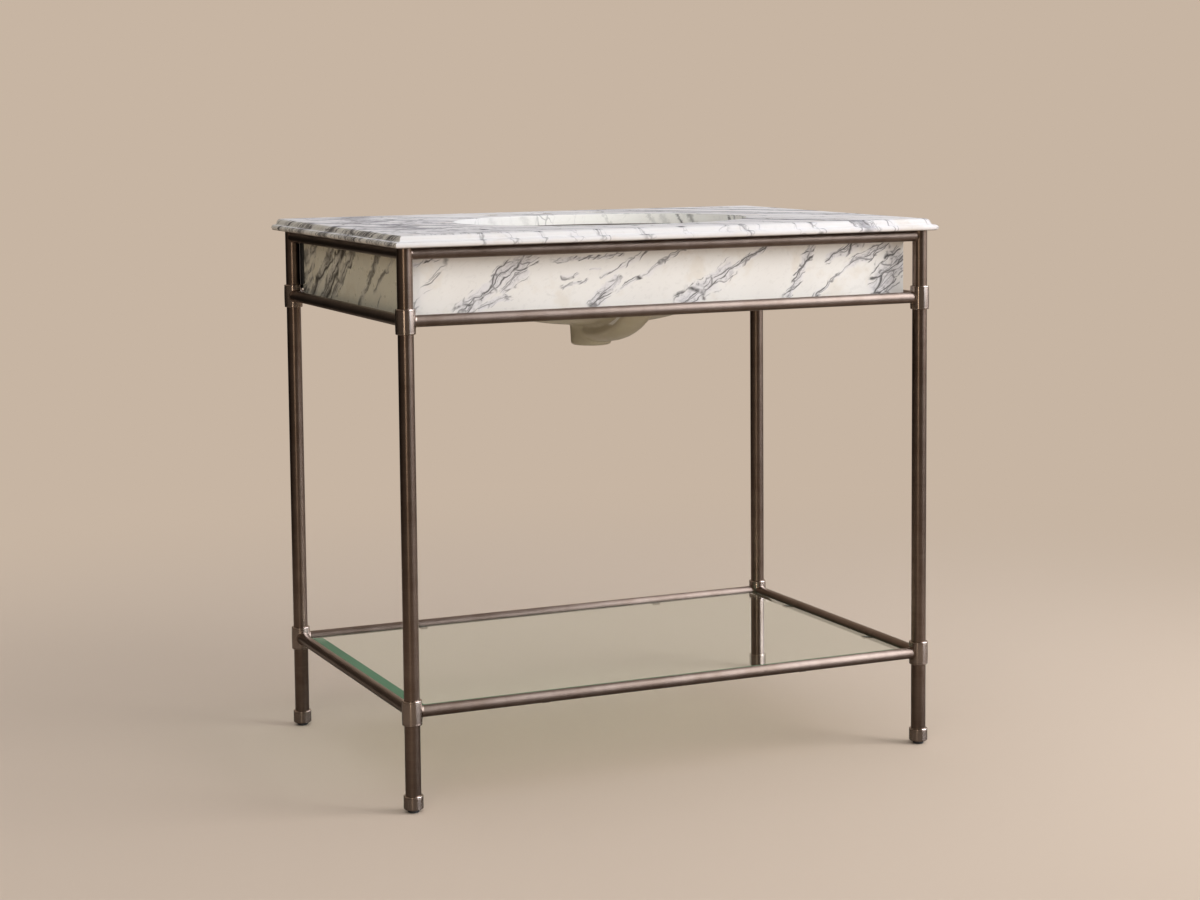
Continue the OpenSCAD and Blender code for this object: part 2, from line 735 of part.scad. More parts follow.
module shelf_rail_right() { rail_left_right(1, shelf_rail_h); }
module apron_rail_front() { rail_front_rear(-1, apron_rail_z); }
module apron_rail_rear() { rail_front_rear(1, apron_rail_z); }
module apron_rail_left() { rail_left_right(-1, apron_rail_z); }
module apron_rail_right() { rail_left_right(1, apron_rail_z); }
module top_rail_front() { rail_front_rear(-1, top_rail_z, true); }
module top_rail_rear() { rail_front_rear(1, top_rail_z, true); }
module top_rail_left() { rail_left_right(-1, top_rail_z, true); }
module top_rail_right() { rail_left_right(1, top_rail_z, true); }
module apron_panel_left() { apron_panel_side(-1); }
module apron_panel_right() { apron_panel_side(1); }

translate([0, -frame_shift, 0]) {
    foot_cap_front_left();
    foot_cap_front_right();
    foot_cap_rear_left();
    foot_cap_rear_right();
    foot_pad_front_left();
    foot_pad_front_right();
    foot_pad_rear_left();
    foot_pad_rear_right();
    level_screw_front_left();
    level_screw_front_right();
    level_screw_rear_left();
    level_screw_rear_right();
    lower_tube_front_left();
    lower_tube_front_right();
    lower_tube_rear_left();
    lower_tube_rear_right();
    middle_tube_front_left();
    middle_tube_front_right();
    middle_tube_rear_left();
    middle_tube_rear_right();
    upper_tube_front_left();
    upper_tube_front_right();
    upper_tube_rear_left();
    upper_tube_rear_right();
    shelf_collar_front_left();
    shelf_collar_front_right();
    shelf_collar_rear_left();
    shelf_collar_rear_right();
    apron_collar_front_left();
    apron_collar_front_right();
    apron_collar_rear_left();
    apron_collar_rear_right();
    shelf_rail_front();
    shelf_rail_rear();
    shelf_rail_left();
    shelf_rail_right();
    apron_rail_front();
    apron_rail_rear();
    apron_rail_left();
    apron_rail_right();
    top_rail_front();
    top_rail_rear();
    top_rail_left();
    top_rail_right();
    marble_top();
    apron_panel_front();
    apron_panel_left();
    apron_panel_right();
    basin();
    basin_seal();
    basin_clips();
    panel_brackets();
    fixing_screws();
    fixing_inserts();
    glass_shelf();
    shelf_tabs();
    shelf_cushions();
    joining_spigots();
    leg_plugs();
}
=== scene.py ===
import math
import bpy
import bmesh
from mathutils import Matrix, Vector
from mathutils.geometry import tessellate_polygon


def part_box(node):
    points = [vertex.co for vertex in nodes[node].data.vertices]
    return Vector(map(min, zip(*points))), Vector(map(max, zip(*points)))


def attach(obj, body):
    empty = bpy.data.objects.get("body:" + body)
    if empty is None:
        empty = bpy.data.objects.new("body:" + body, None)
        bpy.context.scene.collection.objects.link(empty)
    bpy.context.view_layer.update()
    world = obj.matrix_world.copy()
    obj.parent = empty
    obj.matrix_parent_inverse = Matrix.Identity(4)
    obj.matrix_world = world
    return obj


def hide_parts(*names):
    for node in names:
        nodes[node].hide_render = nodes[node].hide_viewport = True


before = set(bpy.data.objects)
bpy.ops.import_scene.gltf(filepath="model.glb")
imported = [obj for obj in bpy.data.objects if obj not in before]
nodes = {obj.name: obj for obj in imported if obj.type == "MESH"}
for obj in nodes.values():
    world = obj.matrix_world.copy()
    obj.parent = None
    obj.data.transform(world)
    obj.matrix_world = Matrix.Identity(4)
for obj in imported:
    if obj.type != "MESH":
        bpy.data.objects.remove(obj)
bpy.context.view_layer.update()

scene = bpy.context.scene
scene.view_settings.view_transform = "Standard"

PAPER = (0.572, 0.462, 0.366)   # the pale warm tone of floor and backdrop

# sizes in metres, as in the part's source
MID = -0.014                    # y halfway between the front and rear legs
LEG_X, LEG_Y, LEG_R = 0.443, 0.283, 0.012       # the legs' centres from the middle, and their radius
COLLAR_R, BELLY_R = 0.0152, 0.0155              # a collar's radius at its lips and at mid height
CUT_X, CUT_Y = 0.250, 0.195     # half axes of the cut-out
CUT_SHIFT = 0.005               # how far the cut-out's middle lies in front of MID
TAP_GAP, TAP_Y, TAP_R = 0.102, 0.247, 0.0175    # the tap holes' spacing, place behind MID and radius
PANEL_T = 0.020                 # thickness of the apron panels


def circle(n):
    """The angles of n points round a circle."""
    return [2 * math.pi * i / n for i in range(n)]


# ---- camera: at the photograph's place, with its framing as a small shift ----

def camera():
    yaw, pitch, roll = 0.4213, 0.0935, -0.0093
    place = Vector((-1.605, MID - 3.5785, 1.0531))
    picture_px, focal_px, shift_px, sensor = 1200, 2366.9, -120, 36
    fwd = Vector((math.sin(yaw) * math.cos(pitch), math.cos(yaw) * math.cos(pitch), -math.sin(pitch)))
    right = Vector((math.cos(yaw), -math.sin(yaw), 0))
    up = right.cross(fwd)
    r2 = right * math.cos(roll) + up * math.sin(roll)
    u2 = up * math.cos(roll) - right * math.sin(roll)
    m = Matrix((r2, u2, -fwd)).transposed().to_4x4()
    m.translation = place
    data = bpy.data.cameras.new("camera")
    data.sensor_width = sensor
    data.lens = focal_px / picture_px * sensor
    data.shift_y = shift_px / picture_px
    data.clip_end = 100
    cam = bpy.data.objects.new("camera", data)
    cam.matrix_world = m
    scene.collection.objects.link(cam)
    scene.camera = cam


camera()


# ---- shader helpers ----

class Shader:
    """A node material, with short calls for the nodes used here."""

    def __init__(self, name):
        self.mat = bpy.data.materials.new(name)
        self.mat.use_nodes = True
        self.tree = self.mat.node_tree
        self.bsdf = self.tree.nodes.get("Principled BSDF")
        self.out = self.tree.nodes.get("Material Output")
        self.point = self.vec("SUBTRACT", self.node("ShaderNodeTexCoord").outputs["Object"], (0, MID, 0))

    def node(self, kind, **props):
        n = self.tree.nodes.new(kind)
        for k, v in props.items():
            setattr(n, k, v)
        return n

    def put(self, socket, value):
        if isinstance(value, bpy.types.NodeSocket):
            self.tree.links.new(value, socket)
        elif isinstance(value, (tuple, list)) and socket.type == "RGBA":
            socket.default_value = (*value, 1) if len(value) == 3 else value
        elif value is not None:
            socket.default_value = value

    def fill(self, n, *values):
        for s, v in zip(n.inputs, values):
            self.put(s, v)
        return n.outputs[0]

    def math(self, op, a, b=None, c=None, clamp=False):
        return self.fill(self.node("ShaderNodeMath", operation=op, use_clamp=clamp), a, b, c)

    def vec(self, op, a, b=None):
        n = self.node("ShaderNodeVectorMath", operation=op)
        self.put(n.inputs[0], a)
        if b is not None:
            self.put(n.inputs[3] if op == "SCALE" else n.inputs[1], b)
        return n.outputs["Value"] if op in ("DOT_PRODUCT", "LENGTH") else n.outputs["Vector"]

    def xyz(self, x, y, z):
        return self.fill(self.node("ShaderNodeCombineXYZ"), x, y, z)

    def noise(self, vector, scale, detail=2.0, rough=0.5, colour=False):
        n = self.node("ShaderNodeTexNoise")
        self.put(n.inputs["Vector"], vector)
        n.inputs["Scale"].default_value = scale
        n.inputs["Detail"].default_value = detail
        n.inputs["Roughness"].default_value = rough
        return n.outputs[1 if colour else 0]

    def cells(self, vector):
        n = self.node("ShaderNodeTexVoronoi", feature="DISTANCE_TO_EDGE")
        self.put(n.inputs["Vector"], vector)
        n.inputs["Scale"].default_value = 1.0
        return n.outputs["Distance"]

    def span(self, value, a, b, c=0.0, d=1.0):
        n = self.node("ShaderNodeMapRange", interpolation_type="SMOOTHSTEP")
        for k, v in (("Value", value), ("From Min", a), ("From Max", b), ("To Min", c), ("To Max", d)):
            self.put(n.inputs[k], v)
        return n.outputs[0]

    def mix(self, fac, a, b):
        n = self.node("ShaderNodeMix", data_type="RGBA")
        for i, v in ((0, fac), (6, a), (7, b)):
            self.put(n.inputs[i], v)
        return n.outputs[2]

    def bump(self, height, strength, distance):
        n = self.node("ShaderNodeBump")
        n.inputs["Strength"].default_value = strength
        n.inputs["Distance"].default_value = distance
        self.put(n.inputs["Height"], height)
        self.put(self.bsdf.inputs["Normal"], n.outputs[0])

    def set(self, **values):
        for k, v in values.items():
            self.put(self.bsdf.inputs[k.replace("_", " ")], v)
        return self.mat


# ---- stage and light ----

def add(name, mesh):
    ob = bpy.data.objects.new(name, mesh)
    scene.collection.objects.link(ob)
    return ob


def smooth(tree, source, a, b, c, d):
    """A smooth step from c to d while source goes from a to b."""
    n = tree.nodes.new("ShaderNodeMapRange")
    n.interpolation_type = "SMOOTHSTEP"
    for k, v in (("From Min", a), ("From Max", b), ("To Min", c), ("To Max", d)):
        n.inputs[k].default_value = v
    tree.links.new(source, n.inputs["Value"])
    return n.outputs[0]


def calc(tree, op, a, b, clamp=False):
    """A math node on two sockets, or on a number and a socket."""
    n = tree.nodes.new("ShaderNodeMath")
    n.operation, n.use_clamp = op, clamp
    for socket, value in zip(n.inputs, (a, b)):
        if isinstance(value, float):
            socket.default_value = value
        else:
            tree.links.new(value, socket)
    return n.outputs[0]


def room_light(tree, way):
    """How bright the room's walls are in a direction, for reflections, and how bright its window is.

    The walls are dark behind on the left, and the window is high on the right.
    """
    split = tree.nodes.new("ShaderNodeSeparateXYZ")
    tree.links.new(way, split.inputs[0])
    x, y, z = split.outputs

    def ramp(source, *values):
        return smooth(tree, source, *values)

    def both(op, a, b):
        return calc(tree, op, a, b)

    back = ramp(x, -0.22, 0.32, 0.025, 0.9)
    wall = both("MULTIPLY", ramp(y, 0.89, 0.82, 0.0, 1.0), ramp(z, 0.05, 0.25, 0.0, 0.9))
    back = both("MAXIMUM", back, wall)
    front = ramp(x, -0.60, 0.60, 0.26, 0.42)
    turn = tree.nodes.new("ShaderNodeMix")
    tree.links.new(ramp(y, -0.2, 0.5, 0.0, 1.0), turn.inputs[0])
    tree.links.new(front, turn.inputs[2])
    tree.links.new(back, turn.inputs[3])
    above = both("MULTIPLY", ramp(z, 0.45, 0.95, 0.0, 0.9), ramp(x, -0.35, 0.25, 0.3, 1.0))
    high = both("MAXIMUM", turn.outputs[0], above)
    window = both("MULTIPLY", ramp(x, 0.370, 0.56, 0.0, 18.0), ramp(z, -0.02, 0.30, 0.0, 1.0))
    return high, both("MULTIPLY", window, ramp(y, 0.5, -0.1, 0.0, 1.0))


def floor():
    """A matte floor near the stand, which fades into the backdrop's tone further out."""
    half = 40
    me = bpy.data.meshes.new("floor")
    me.from_pydata([(-half, -half, 0), (half, -half, 0), (half, half, 0), (-half, half, 0)], [], [(0, 1, 2, 3)])
    s = Shader("floor")
    away = s.vec("LENGTH", s.point)
    rays = s.node("ShaderNodeLightPath")
    # rays through the glass count as glossy too, and are taken out
    mirrored = s.math("SUBTRACT", rays.outputs["Is Glossy Ray"], rays.outputs["Is Transmission Ray"], clamp=True)
    # painted shade: seen in reflections, the floor near the stand is darkened towards black
    painted_shade_under_stand = s.math("MULTIPLY", s.span(away, 0.5, 1.6, 0.70, 0.0), mirrored)
    s.set(Base_Color=s.mix(painted_shade_under_stand, (0.628, 0.512, 0.410), (0, 0, 0)), Roughness=0.9)
    s.bsdf.inputs["Specular IOR Level"].default_value = 0.1
    dim = s.node("ShaderNodeMix", data_type="FLOAT")
    near = s.span(away, 2.5, 12.0, 0.35, 1.0)
    way = s.vec("NORMALIZE", s.point)
    part = s.node("ShaderNodeSeparateXYZ")
    s.put(part.inputs[0], way)
    # painted pool of window light: the floor to the right and in front glows brighter, seen only in reflections
    painted_window_pool = s.math("MULTIPLY", s.span(part.outputs[0], 0.55, 0.75, 0.0, 2.2), s.span(part.outputs[1], 0.1, -0.3))
    painted_window_pool = s.math("MULTIPLY", painted_window_pool, s.span(away, 4.0, 8.0))
    around = s.math("MULTIPLY", near, s.math("ADD", painted_window_pool, room_light(s.tree, way)[0]))
    for i, v in ((0, mirrored), (2, 1.0), (3, around)):
        s.put(dim.inputs[i], v)
    glow = s.node("ShaderNodeEmission")
    glow.inputs["Color"].default_value = (*PAPER, 1)
    s.put(glow.inputs["Strength"], dim.outputs[0])
    seen = s.math("MAXIMUM", rays.outputs["Is Camera Ray"], rays.outputs["Is Glossy Ray"])
    seen = s.math("MAXIMUM", seen, rays.outputs["Is Transmission Ray"])
    far = s.span(away, 0.75, 2.6)
    both = s.node("ShaderNodeMixShader")
    s.put(both.inputs[0], s.math("MULTIPLY", far, seen))
    s.put(both.inputs[1], s.bsdf.outputs[0])
    s.put(both.inputs[2], glow.outputs[0])
    s.put(s.out.inputs["Surface"], both.outputs[0])
    me.materials.append(s.mat)
    add("floor", me)


def sky():
    """Soft light from above and in front; reflections see the room, and the camera a plain backdrop."""
    world = bpy.data.worlds.new("world")
    world.use_nodes = True
    t = world.node_tree
    new, link = t.nodes.new, t.links.new
    back = t.nodes["Background"]
    back.inputs[0].default_value = (*PAPER, 1)
    way = new("ShaderNodeTexCoord").outputs["Generated"]
    up = new("ShaderNodeSeparateXYZ")
    link(way, up.inputs[0])
    dome = smooth(t, up.outputs[2], 0.0, 0.9, 0.08, 0.72)
    fore = smooth(t, up.outputs[1], -0.25, -0.95, 0.0, 0.95)
    soft = new("ShaderNodeBackground")
    soft.inputs[0].default_value = (0.97, 0.975, 1.0, 1)
    link(calc(t, "ADD", dome, fore), soft.inputs[1])
    room = new("ShaderNodeAddShader")
    rays = new("ShaderNodeLightPath")
    high, window = room_light(t, way)
    # sharp mirrors don't see the window, which would lie on the glass as a white sheet
    dull = calc(t, "SUBTRACT", 1.0, rays.outputs["Is Singular Ray"], True)
    pane = calc(t, "MULTIPLY", window, dull)
    for i, (colour, strength) in enumerate(((PAPER, high), ((0.54, 0.60, 0.68), pane))):
        part = new("ShaderNodeBackground")
        part.inputs[0].default_value = (*colour, 1)
        link(strength, part.inputs[1])
        link(part.outputs[0], room.inputs[i])
    first, second = new("ShaderNodeMixShader"), new("ShaderNodeMixShader")
    seen = calc(t, "MAXIMUM", rays.outputs["Is Camera Ray"], rays.outputs["Is Transmission Ray"])
    link(rays.outputs["Is Glossy Ray"], first.inputs[0])
    link(soft.outputs[0], first.inputs[1])
    link(room.outputs[0], first.inputs[2])
    link(seen, second.inputs[0])
    link(first.outputs[0], second.inputs[1])
    link(back.outputs[0], second.inputs[2])
    link(second.outputs[0], t.nodes["World Output"].inputs["Surface"])
    scene.world = world


def lamp(name, place, target, size, power, colour, mirrored=True):
    """A soft lamp; mirrored says whether reflections show it."""
    d = bpy.data.lights.new(name, "AREA")
    d.shape = "RECTANGLE"
    d.size, d.size_y = size
    d.energy = power
    d.color = colour
    ob = bpy.data.objects.new(name, d)
    ob.location = place
    ob.rotation_euler = (Vector(target) - Vector(place)).to_track_quat("-Z", "Y").to_euler()
    ob.visible_glossy = mirrored
    scene.collection.objects.link(ob)


floor()
sky()
lamp("key", (2.60, -2.00, 1.95), (0, 0, 0.55), (1.7, 2.1), 74, (0.98, 0.985, 1.0), False)
lamp("strip", (-2.15, -2.85, 1.0), (0, 0, 0.5), (0.14, 2.0), 10.0, (1, 0.86, 0.68))


# ---- marble ----

def veined(s, turn, third, seed, calm, thick=1.0, size=1.0):
    """Warped place, and the fine network of veins that run along turn."""
    base = s.vec("ADD", s.point, seed)
    big = s.vec("SUBTRACT", s.noise(base, 6.5, 3, 0.55, True), (0.5, 0.5, 0.5))
    small = s.vec("SUBTRACT", s.noise(base, 44, 2, 0.5, True), (0.5, 0.5, 0.5))
    place = s.vec("ADD", s.point, s.vec("ADD", s.vec("SCALE", big, 0.034 * calm), s.vec("SCALE", small, 0.015)))
    along = s.vec("DOT_PRODUCT", place, turn)
    normal = Vector(turn).cross(Vector(third))
    across = s.vec("DOT_PRODUCT", place, tuple(normal))
    deep = s.vec("DOT_PRODUCT", place, third)

    def net(fa, fc, half):
        fa, fc = fa * size, fc * size
        v = s.xyz(s.math("MULTIPLY", along, fa), s.math("MULTIPLY", across, fc), s.math("MULTIPLY", deep, fc * 0.5))
        return s.span(s.cells(s.vec("ADD", v, seed)), 0.0, half * thick, 1.0, 0.0)

    wide = s.math("MAXIMUM", net(9, 44, 0.062), s.math("MULTIPLY", net(18, 84, 0.075), 0.75))
    fine = net(34, 130, 0.110)
    broken = s.span(s.noise(base, 30 * size, 3, 0.6), 0.32, 0.48)
    patch = s.span(s.noise(base, 110 * size, 3, 0.6), 0.48, 0.62)
    return place, wide, fine, broken, patch


def colour_marble(s, band, spine, wide, fine, broken, patch, gloss, level=0.35, fill=0.10, stone_tint_and_painted_shade=(1, 1, 1), painted_light_washes=(),
                  painted_shades=(), depth=0.97):
    """Cream ground, pale violet halo in the bands, and dark broken veins on top."""
    # every colour is multiplied by this tint: on the top it is the stone's own cool tone, on the left panel a painted
    # shade
    tint = lambda c: tuple(a * b for a, b in zip(c, stone_tint_and_painted_shade))
    cloud = s.span(s.noise(s.point, 5, 3, 0.55), 0.40, 0.68)
    blush = s.span(s.noise(s.vec("ADD", s.point, (3.1, 1.7, 5.2)), 17, 3, 0.6), 0.54, 0.70)
    ground = s.mix(cloud, tint((0.850, 0.830, 0.790)), tint((0.815, 0.790, 0.748)))
    ground = s.mix(s.math("MULTIPLY", blush, 0.40), ground, tint((0.730, 0.655, 0.550)))
    halo = s.math("MULTIPLY", band, 0.80, clamp=True)
    ground = s.mix(halo, ground, tint((0.790, 0.772, 0.790)))
    core = s.span(band, 0.40, 0.95)
    ground = s.mix(s.math("MULTIPLY", core, fill), ground, tint((0.400, 0.385, 0.400)))
    # painted light and shade laid over the ground
    for amount, colour in painted_light_washes:
        ground = s.mix(amount, ground, colour)
    lines = s.math("MULTIPLY", wide, s.math("MULTIPLY", broken, s.span(band, 0.04, 0.40)))
    tiny = s.math("MULTIPLY", fine, s.math("MULTIPLY", core, s.span(patch, 0.0, 1.0, 0.22, 0.70)))
    grey = s.math("MULTIPLY", patch, s.math("MULTIPLY", core, 0.20))
    stray = s.math("MULTIPLY", s.math("MULTIPLY", wide, patch), 0.07)
    dark = s.math("MAXIMUM", s.math("MAXIMUM", lines, tiny), s.math("MAXIMUM", grey, stray))
    dark = s.math("MAXIMUM", dark, spine)
    vein = s.mix(s.noise(s.point, 60, 2), tint((0.052, 0.048, 0.043)), tint((0.125, 0.117, 0.113)))
    stone = s.mix(s.math("MULTIPLY", dark, depth, clamp=True), ground, vein)
    # painted shade laid over the finished stone
    for amount, colour in painted_shades:
        stone = s.mix(amount, stone, colour)
    s.set(Base_Color=stone, Roughness=s.math("MULTIPLY_ADD", s.noise(s.point, 90, 2), 0.10, gloss))
    s.bsdf.inputs["Specular IOR Level"].default_value = level
    s.bump(s.noise(s.point, 240, 2), 0.06, 0.0004)
    return s.mat


def panel_marble(name, axis, third, turn, seed, bands, thick=1.0, size=1.0, stone_tint_and_painted_shade=(1, 1, 1)):
    """axis is the panel's long direction; bands are (start, start z, end, end z, half width, strength, spine)."""
    s = Shader(name)
    place, wide, fine, broken, patch = veined(s, turn, third, seed, 0.7, thick, size)
    u = s.vec("DOT_PRODUCT", place, axis)
    w = s.vec("DOT_PRODUCT", place, (0, 0, 1))
    flat = s.xyz(u, w, 0.0)
    band = spine = None
    ragged = s.math("MULTIPLY_ADD", s.noise(s.point, 42, 3, 0.6), 1.7, 0.15)
    skip = s.span(s.noise(s.vec("ADD", s.point, (7.3, 2.2, 1.1)), 34, 2), 0.34, 0.52)
    for x0, z0, x1, z1, half, strength, line in bands:
        e = Vector((x1 - x0, z1 - z0, 0))
        rel = s.vec("SUBTRACT", flat, (x0, z0, 0.0))
        t = s.vec("DOT_PRODUCT", rel, tuple(e / e.length_squared))
        side = s.math("ABSOLUTE", s.vec("DOT_PRODUCT", rel, (-e.y / e.length, e.x / e.length, 0.0)))
        ends = s.span(s.math("ABSOLUTE", s.math("SUBTRACT", t, 0.5)), 0.42, 0.62, strength, 0.0)
        here = s.math("MULTIPLY", s.span(s.math("DIVIDE", side, ragged), half * 0.25, half, 1.0, 0.0), ends)
        band = here if band is None else s.math("MAXIMUM", band, here)
        if line:
            thin = s.span(side, 0.0003 * thick, 0.0013 * thick, line, 0.0)
            thin = s.math("MULTIPLY", thin, s.math("MULTIPLY", ends, skip))
            spine = thin if spine is None else s.math("MAXIMUM", spine, thin)
    return colour_marble(s, band, spine, wide, fine, broken, patch, 0.24, stone_tint_and_painted_shade=stone_tint_and_painted_shade)


def band_ramp(s, value, low, high, bands):
    n = s.node("ShaderNodeValToRGB")
    n.color_ramp.interpolation = "EASE"
    stops = []
    for centre, half, strength in bands:
        stops += [(centre - half, 0.0), (centre, strength), (centre + half, 0.0)]
    stops.sort()
    ramp = n.color_ramp
    while len(ramp.elements) < len(stops):
        ramp.elements.new(0.5)
    for el, (p, v) in zip(ramp.elements, stops):
        el.position = (p - low) / (high - low)
        el.color = (v, v, v, 1)
    s.put(n.inputs[0], s.math("DIVIDE", s.math("SUBTRACT", value, low), high - low))
    return n.outputs[0]


def top_marble():
    s = Shader("marble_top")
    turn = Vector((-1, 1.4, 0)).normalized()
    place, wide, fine, broken, patch = veined(s, tuple(turn), (0, 0, 1), (4.2, 1.3, 0.4), 0.8)
    split = s.node("ShaderNodeSeparateXYZ")
    s.put(split.inputs[0], place)
    x, y = split.outputs[0], split.outputs[1]
    front = s.math("MULTIPLY_ADD", s.math("ADD", y, 0.305), 0.714, x)
    left = s.math("MULTIPLY_ADD", s.math("ADD", x, 0.464), 1.4, y)
    near = band_ramp(s, front, -0.5, 0.2, [
        (-0.318, 0.008, 0.8), (-0.276, 0.016, 0.6), (-0.232, 0.012, 0.8), (-0.178, 0.018, 0.6),
        (-0.133, 0.016, 0.7), (-0.062, 0.018, 0.6), (0.007, 0.014, 0.5), (0.084, 0.020, 0.6),
        (0.121, 0.014, 0.9), (0.150, 0.010, 0.5)])
    far = band_ramp(s, front, 0.18, 0.9, [
        (0.218, 0.012, 0.5), (0.253, 0.014, 0.7), (0.332, 0.034, 1.0), (0.388, 0.014, 0.6),
        (0.460, 0.012, 0.5), (0.551, 0.022, 0.9), (0.602, 0.024, 1.0), (0.712, 0.034, 0.9), (0.800, 0.03, 0.8)])
    rear = band_ramp(s, left, -0.35, 0.95, [
        (-0.278, 0.040, 1.0), (-0.196, 0.030, 0.6), (-0.134, 0.016, 0.8), (-0.050, 0.040, 0.7),
        (0.040, 0.038, 1.0), (0.174, 0.040, 0.9), (0.282, 0.012, 0.8), (0.40, 0.05, 0.7), (0.56, 0.06, 0.6)])
    corner = s.math("SUBTRACT", s.math("MULTIPLY", s.math("ADD", y, 0.307), 0.8), s.math("ADD", x, 0.464))
    band = s.math("MAXIMUM", near, far)
    mixed = s.node("ShaderNodeMix", data_type="FLOAT")
    for i, v in ((0, s.span(corner, -0.02, 0.06)), (2, band), (3, rear)):
        s.put(mixed.inputs[i], v)
    # left of the cut-out the stone is streaked most densely
    streaks = s.math("MULTIPLY", s.span(s.math("ABSOLUTE", s.math("ADD", x, 0.335)), 0.03, 0.14, 0.78, 0.0),
                     s.span(s.noise(place, 20, 3, 0.6), 0.40, 0.62))
    # on the cut-out's wall the veins are few and short
    raw = s.node("ShaderNodeSeparateXYZ")
    s.put(raw.inputs[0], s.point)
    px = s.math("DIVIDE", raw.outputs[0], CUT_X)
    py = s.math("DIVIDE", s.math("ADD", raw.outputs[1], CUT_SHIFT), CUT_Y)
    z = raw.outputs[2]
    round_it = s.vec("LENGTH", s.xyz(px, py, 0.0))
    wall = s.math("MULTIPLY", s.span(round_it, 1.02, 1.05, 1.0, 0.0), s.span(z, 0.8696, 0.8688))
    lean = s.math("MULTIPLY_ADD", s.math("SUBTRACT", z, 0.8605), -2.7, s.math("ARCTAN2", py, px))
    lean = s.math("MULTIPLY_ADD", s.math("SUBTRACT", s.noise(s.point, 130, 3, 0.7), 0.5), 0.10, lean)
    strokes = band_ramp(s, lean, -0.4, 2.4, [
        (-0.20, 0.05, 0.7), (0.0, 0.02, 0.8), (0.09, 0.025, 0.95), (0.53, 0.05, 0.75), (0.635, 0.022, 1.0),
        (0.76, 0.05, 0.30), (0.86, 0.03, 0.32), (1.19, 0.015, 0.35), (1.80, 0.05, 0.22), (2.10, 0.06, 0.20)])
    open_face = s.math("SUBTRACT", 1.0, wall)
    flat = s.span(z, 0.8685, 0.8695)
    band = s.math("MAXIMUM", mixed.outputs[0], s.math("MULTIPLY", streaks, flat))
    band = s.math("MULTIPLY", band, s.math("MAXIMUM", open_face, 0.25))
    spine = s.math("MULTIPLY", s.span(band, 0.62, 0.95), s.math("MULTIPLY", broken, 0.55))
    strokes = s.math("MULTIPLY", strokes, s.span(patch, 0.0, 1.0, 0.80, 1.0))
    spine = s.math("MAXIMUM", spine, s.math("MULTIPLY", strokes, wall))
    face = s.node("ShaderNodeSeparateXYZ")
    s.put(face.inputs[0], s.node("ShaderNodeNewGeometry").outputs["Normal"])
    # painted shade: the underside, facing down, is darkened, and a thin painted shadow line runs round the foot of the
    # cut-out's wall
    painted_shade = s.math("MAXIMUM", s.span(face.outputs[2], -0.5, -0.9, 0.0, 0.65),
                   s.math("MULTIPLY", s.span(z, 0.8528, 0.8522), s.span(round_it, 1.02, 1.05, 1.0, 0.0)))
    # painted shade: the faces that point left are washed towards a dark olive
    painted_shade_left = s.math("MULTIPLY", s.span(face.outputs[0], -0.2, -0.7, 0.0, 0.55), open_face)
    # the moulded left edge is crossed by many short dark veins, the front one only faintly
    side = s.math("MULTIPLY", s.span(face.outputs[0], -0.15, -0.5), open_face)
    slant = s.math("MULTIPLY_ADD", raw.outputs[0], 3.0, s.math("MULTIPLY_ADD", z, 0.6, raw.outputs[1]))
    wave = s.noise(s.xyz(s.math("MULTIPLY", slant, 38.0), 0.0, 3.7), 1, 3, 0.60)
    short = s.span(s.math("ABSOLUTE", s.math("SUBTRACT", wave, 0.5)), 0.010, 0.038, 0.95, 0.0)
    short = s.math("MULTIPLY", s.math("MULTIPLY", short, side), s.span(broken, 0.0, 1.0, 0.35, 1.0))
    spine = s.math("MAXIMUM", spine, short)
    # on the front face the veins are fainter, most towards the left, and a painted shade washes it towards grey
    pale = s.math("MULTIPLY", s.span(face.outputs[1], -0.25, -0.6), open_face)
    pale = s.math("MULTIPLY", pale, s.span(raw.outputs[0], 0.05, 0.32, 1.0, 0.45))
    spine = s.math("MULTIPLY", spine, s.math("SUBTRACT", 1.0, s.math("MULTIPLY", pale, 0.55)))
    band = s.math("MULTIPLY", band, s.math("SUBTRACT", 1.0, s.math("MULTIPLY", pale, 0.45)))
    depth = s.math("SUBTRACT", 0.97, s.math("MULTIPLY", pale, 0.45))
    # painted light and shade: olive painted shade on the left faces, grey painted shade on the front face and all round
    # the cut-out's wall, and painted bounce light lifting that wall to cream towards the right
    painted_light_washes = ((painted_shade_left, (0.50, 0.455, 0.335)), (s.math("MULTIPLY", pale, 0.30), (0.66, 0.655, 0.635)),
              (s.math("MULTIPLY", wall, 0.30), (0.60, 0.60, 0.58)),
              (s.math("MULTIPLY", wall, s.span(px, -0.9, 0.5, 0.0, 1.0)), (0.880, 0.855, 0.795)))
    return colour_marble(s, band, spine, wide, fine, broken, patch, 0.50, 0.15, 0.85, (0.905, 0.895, 0.930), painted_light_washes,
                         ((painted_shade, (0.13, 0.105, 0.08)),), depth)


# ---- brushed bronze ----

# each finish: roughness, its change over the brush lines, anisotropy, its rotation, strength of the lines' relief
BRUSHED = {
    "tube": (0.27, 0.06, 0.25, 0.25, 0.08),
    "rail": (0.40, 0.06, 0.60, 0.0, 0.08),
    "side": (0.30, 0.06, 0.50, 0.0, 0.08),
    "turned": (0.25, 0.015, 0.80, 0.25, 0.0),
    "soldered": (0.28, 0.06, 0.0, 0.0, 0.05),
}


